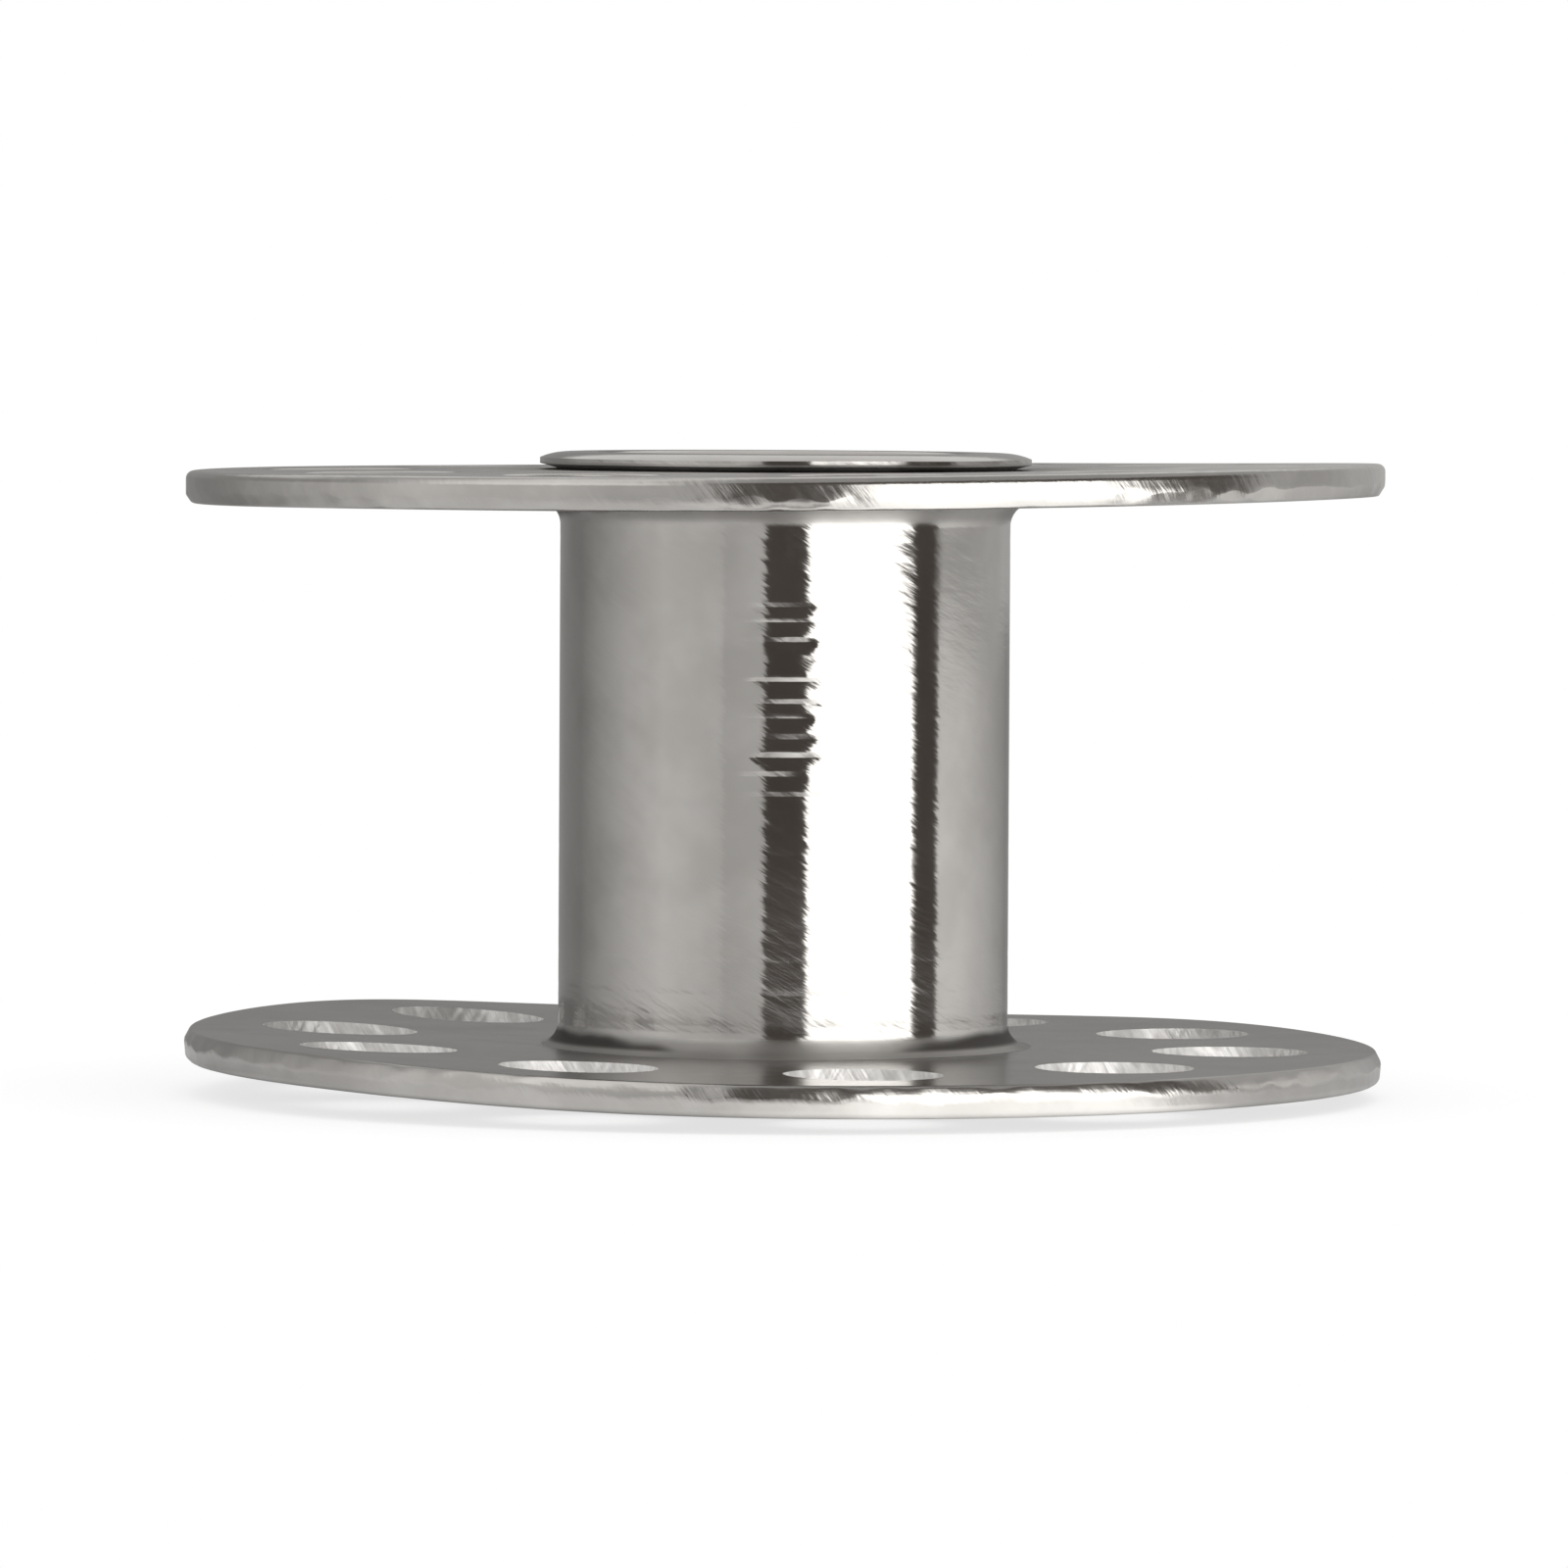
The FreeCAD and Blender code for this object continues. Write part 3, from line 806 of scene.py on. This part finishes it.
# The studio's panels, by direction from the front (0), to the right (90) and to the left (-90): how bright
# each is near the table, above that, on three rings of the table itself, and overhead
BROWN = 0.1
SURROUND_LOW = [
    (-180, 0.3), (-120, 0.3), (-60, 0.9), (-30, 0.8), (-28, 0.7), (-10, 0.75), (-8.5, BROWN), (10.2, BROWN),
    (11.6, 3.2), (63.5, 3.2), (65, BROWN), (78.5, BROWN), (80, 1.1), (95, 1.0), (150, 0.3), (180, 0.3),
]
SURROUND_HIGH = [
    (-180, 0.25), (-80, 0.45), (-65, 0.65), (-48, 1.35), (-20, 1.3), (-10, 0.4), (-7, BROWN), (76, BROWN),
    (82, 0.6), (140, 0.6), (180, 0.25),
]
FLOOR_NEAR = [
    (-180, 0.3), (-80, 0.3), (-35, 0.9), (-7, 1.1), (10, 2.4), (40, 2.4), (50, 0.9), (65, 0.8), (90, 0.45),
    (180, 0.3),
]
FLOOR_STRIPS = [
    (-180, 0.4), (-110, 0.42), (-60, 0.85), (-10, 0.95), (-8.5, BROWN), (10.2, BROWN), (11.6, 2.4),
    (63.5, 2.4), (65, BROWN), (78.5, BROWN), (80, 0.85), (110, 0.5), (180, 0.4),
]
FLOOR_FAR = [
    (-180, 0.4), (-110, 0.42), (-60, 0.85), (-14, 0.95), (-8.5, 1.3), (10.2, 1.4), (11.6, 2.4), (57, 2.4),
    (65, 0.5), (78.5, 0.5), (82, 0.85), (110, 0.5), (180, 0.4),
]
CEILING = [
    (-180, 0.9), (-110, 0.85), (-80, 0.55), (-66, 0.7), (-50, 1.2), (-24, 1.2), (-10, 0.5), (95, 0.5),
    (120, 0.9), (180, 0.9),
]
PEAK = 4.0  # brightness of a panel whose colour is white
BROWN_TINT = (1.05, 0.9, 0.8)
PALE_TINT = (1.0, 0.985, 0.965)

# The dome that holds the panels: its shape, and the tilts in degrees between which each row of panels
# gives way to the next. On the right the high panels drop some degrees, smoothly between two directions.
DOME_RADIUS = 26.0
DOME_SEGMENTS = 72
DOME_RINGS = 18
DOME_TOP = 89.5
HIGH_START = 27, 31
HIGH_DROP = 12
HIGH_DROP_FROM = 44, 66
CEILING_START = 40, 47

# The floor, just clear of the lower lip: half its width, its height, how much light it gives back, the
# radii between which its shadow fades out and the share of plain white at each, how bright the metal shows
# it near the axis, a painted shadow under the flanges, and the radii between which each ring of panels takes
# over
FLOOR_SIZE = 2000
FLOOR_LEVEL = -0.005
FLOOR_LIT = 0.9
FLOOR_FADE = 12, 30
FLOOR_PLAIN = 0.72, 1.0
FLOOR_SHADOW_UNDER = 0.08
FLOOR_RINGS = [
    ((9.2, 10.8), FLOOR_NEAR),
    ((13.5, 14.5), FLOOR_STRIPS),
    ((15.7, 16.7), FLOOR_FAR),
    ((19, 20.5), SURROUND_LOW),
]


def grey(level):
    return level, level, level, 1


def add_camera():
    """The photograph's view: from the front, a little above the upper flange, with a long lens."""
    data = bpy.data.cameras.new("camera")
    data.sensor_width = SENSOR_WIDTH
    data.lens = data.sensor_width * (AIM - EYE).length / FRAME_WIDTH
    data.clip_start = NEAREST
    data.clip_end = FURTHEST
    camera = bpy.data.objects.new("camera", data)
    turn = (AIM - EYE).to_track_quat("-Z", "Y").to_matrix().to_4x4()
    camera.matrix_world = Matrix.Translation(EYE) @ turn @ Matrix.Rotation(ROLL, 4, "Z")
    bpy.context.scene.collection.objects.link(camera)
    bpy.context.scene.camera = camera


def shows_background(nodes):
    """1 for the rays that show the background as it is: those of the camera, reflections and glass."""
    path = nodes.add("ShaderNodeLightPath").node.outputs
    either = nodes.math("MAXIMUM", path["Is Camera Ray"], path["Is Glossy Ray"])
    return nodes.math("MAXIMUM", either, path["Is Transmission Ray"])


def add_world():
    """White behind the object, and an even soft light on the floor."""
    world = bpy.data.worlds.new("studio")
    bpy.context.scene.world = world
    world.use_nodes = True
    nodes = Nodes(world.node_tree)
    strength = nodes.spread(shows_background(nodes), WORLD_LIGHT, WHITE)
    background = nodes.add("ShaderNodeBackground", Color=grey(1), Strength=strength)
    nodes.add("ShaderNodeOutputWorld", Surface=background)


def turn_share(azimuth):
    """A direction in degrees from the front, as a share of the way round from the back's left."""
    return (azimuth + 180) / 360


def direction(nodes, at):
    """Which way a point lies: 0 at the back's left, 0.5 at the front, 1 at the back's right."""
    azimuth = nodes.math("ARCTAN2", at.x, nodes.times(at.y, -1.0))
    return nodes.plus(nodes.math("DIVIDE", azimuth, FULL_TURN), 0.5)


def surround_ramp(nodes, share, stops):
    """Brightness by direction, as a share of the brightest. What is dark is brown."""
    node = nodes.add("ShaderNodeValToRGB", Fac=share).node
    elements = node.color_ramp.elements
    while len(elements) < len(stops):
        elements.new(1.0)
    for element, (azimuth, level) in zip(elements, stops):
        element.position = turn_share(azimuth)
        tint = BROWN_TINT if level <= BROWN else PALE_TINT
        element.color = (*[level * t / PEAK for t in tint], 1)
    return node.outputs["Color"]


def add_floor():
    """A white floor that keeps the bobbin's shadow near it and runs into the background further off.

    The metal shows rings of panels on it instead.
    """
    corners = [(x * FLOOR_SIZE, y * FLOOR_SIZE, FLOOR_LEVEL) for x, y in ((-1, -1), (1, -1), (1, 1), (-1, 1))]
    material, nodes = new_material("white_floor")
    at = place(nodes)
    share = direction(nodes, at)
    # Under the flanges the metal shows the floor with a painted shadow
    seen = grey(FLOOR_SHADOW_UNDER)
    for (start, end), stops in FLOOR_RINGS:
        seen = nodes.mix_colour(nodes.ramp(at.radius, start, end), seen, surround_ramp(nodes, share, stops))
    in_metal = nodes.add("ShaderNodeLightPath").node.outputs["Is Glossy Ray"]
    colour = nodes.mix_colour(in_metal, grey(1 / PEAK), seen)
    glow = nodes.add("ShaderNodeEmission", Color=colour, Strength=PEAK)
    lit = nodes.add("ShaderNodeBsdfDiffuse", Color=grey(FLOOR_LIT))
    plain = nodes.times(nodes.ramp(at.radius, *FLOOR_FADE, *FLOOR_PLAIN), shows_background(nodes))
    surface = nodes.add("ShaderNodeMixShader", i0=plain, i1=lit, i2=glow)
    nodes.add("ShaderNodeOutputMaterial", Surface=surface)
    floor = new_piece("floor", corners, [(0, 1, 2, 3)], [material])


def add_lamp():
    """One broad soft lamp overhead."""
    data = bpy.data.lights.new("overhead", "AREA")
    data.shape = "DISK"
    data.size = LAMP_SIZE
    data.energy = LAMP_ENERGY
    lamp = bpy.data.objects.new("overhead", data)
    lamp.location = LAMP_PLACE
    lamp.rotation_euler = (-lamp.location).to_track_quat("-Z", "Y").to_euler()
    lamp.visible_glossy = False
    lamp.visible_camera = False
    bpy.context.scene.collection.objects.link(lamp)


def add_surround():
    """The panels of the studio, which only show in the metal: a dome that stands on the table."""
    turns = [FULL_TURN * i / DOME_SEGMENTS for i in range(DOME_SEGMENTS)]
    rows = []
    for j in range(DOME_RINGS + 1):
        flat, up = polar(DOME_RADIUS, math.radians(lerp(0, DOME_TOP, j / DOME_RINGS)))
        rows.append([(*polar(flat, turn), up) for turn in turns])
    work = Patchwork()
    work.add(rows, True)

    material, nodes = new_material("surround")
    at = place(nodes)
    share = direction(nodes, at)
    tilt = nodes.math("ARCTAN2", at.z, at.radius)
    dropped = nodes.ramp(share, *map(turn_share, HIGH_DROP_FROM), 0.0, math.radians(HIGH_DROP))
    raised = nodes.ramp(nodes.plus(tilt, dropped), *map(math.radians, HIGH_START))
    overhead = nodes.ramp(tilt, *map(math.radians, CEILING_START))
    low = surround_ramp(nodes, share, SURROUND_LOW)
    high = surround_ramp(nodes, share, SURROUND_HIGH)
    ceiling = surround_ramp(nodes, share, CEILING)
    colour = nodes.mix_colour(overhead, nodes.mix_colour(raised, low, high), ceiling)
    glow = nodes.add("ShaderNodeEmission", Color=colour, Strength=PEAK)
    nodes.add("ShaderNodeOutputMaterial", Surface=glow)
    dome = new_piece("surround", work.vertices, work.faces, [material])
    dome.visible_camera = False
    dome.visible_diffuse = False
    dome.visible_shadow = False
    dome.visible_transmission = False


def dress():
    """Puts the detailed pieces in place of the plain solids."""
    turned = turned_plating()
    sheet = [sheet_plating(), torn_plating(), burnished_plating()]
    lower_middle = (lower_low.z + lower_high.z) / 2
    upper_middle = (upper_low.z + upper_high.z) / 2
    core = make_core(turned)
    lower = make_flange("lower_flange_punched", lower_middle, False, LOWER_SEED, LOWER_BEND, sheet)
    upper = make_flange("upper_flange_punched", upper_middle, True, UPPER_SEED, UPPER_BEND, sheet)
    pieces = [
        (core, "core_tube", "turned_plating"),
        (lower, "lower_flange", "sheet_plating"),
        (upper, "upper_flange", "sheet_plating"),
    ]
    for piece, node, slot in pieces:
        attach(piece, "root")
        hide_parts(node)


dress()
add_camera()
add_world()
add_floor()
add_lamp()
add_surround()
bpy.context.scene.view_settings.view_transform = "Standard"
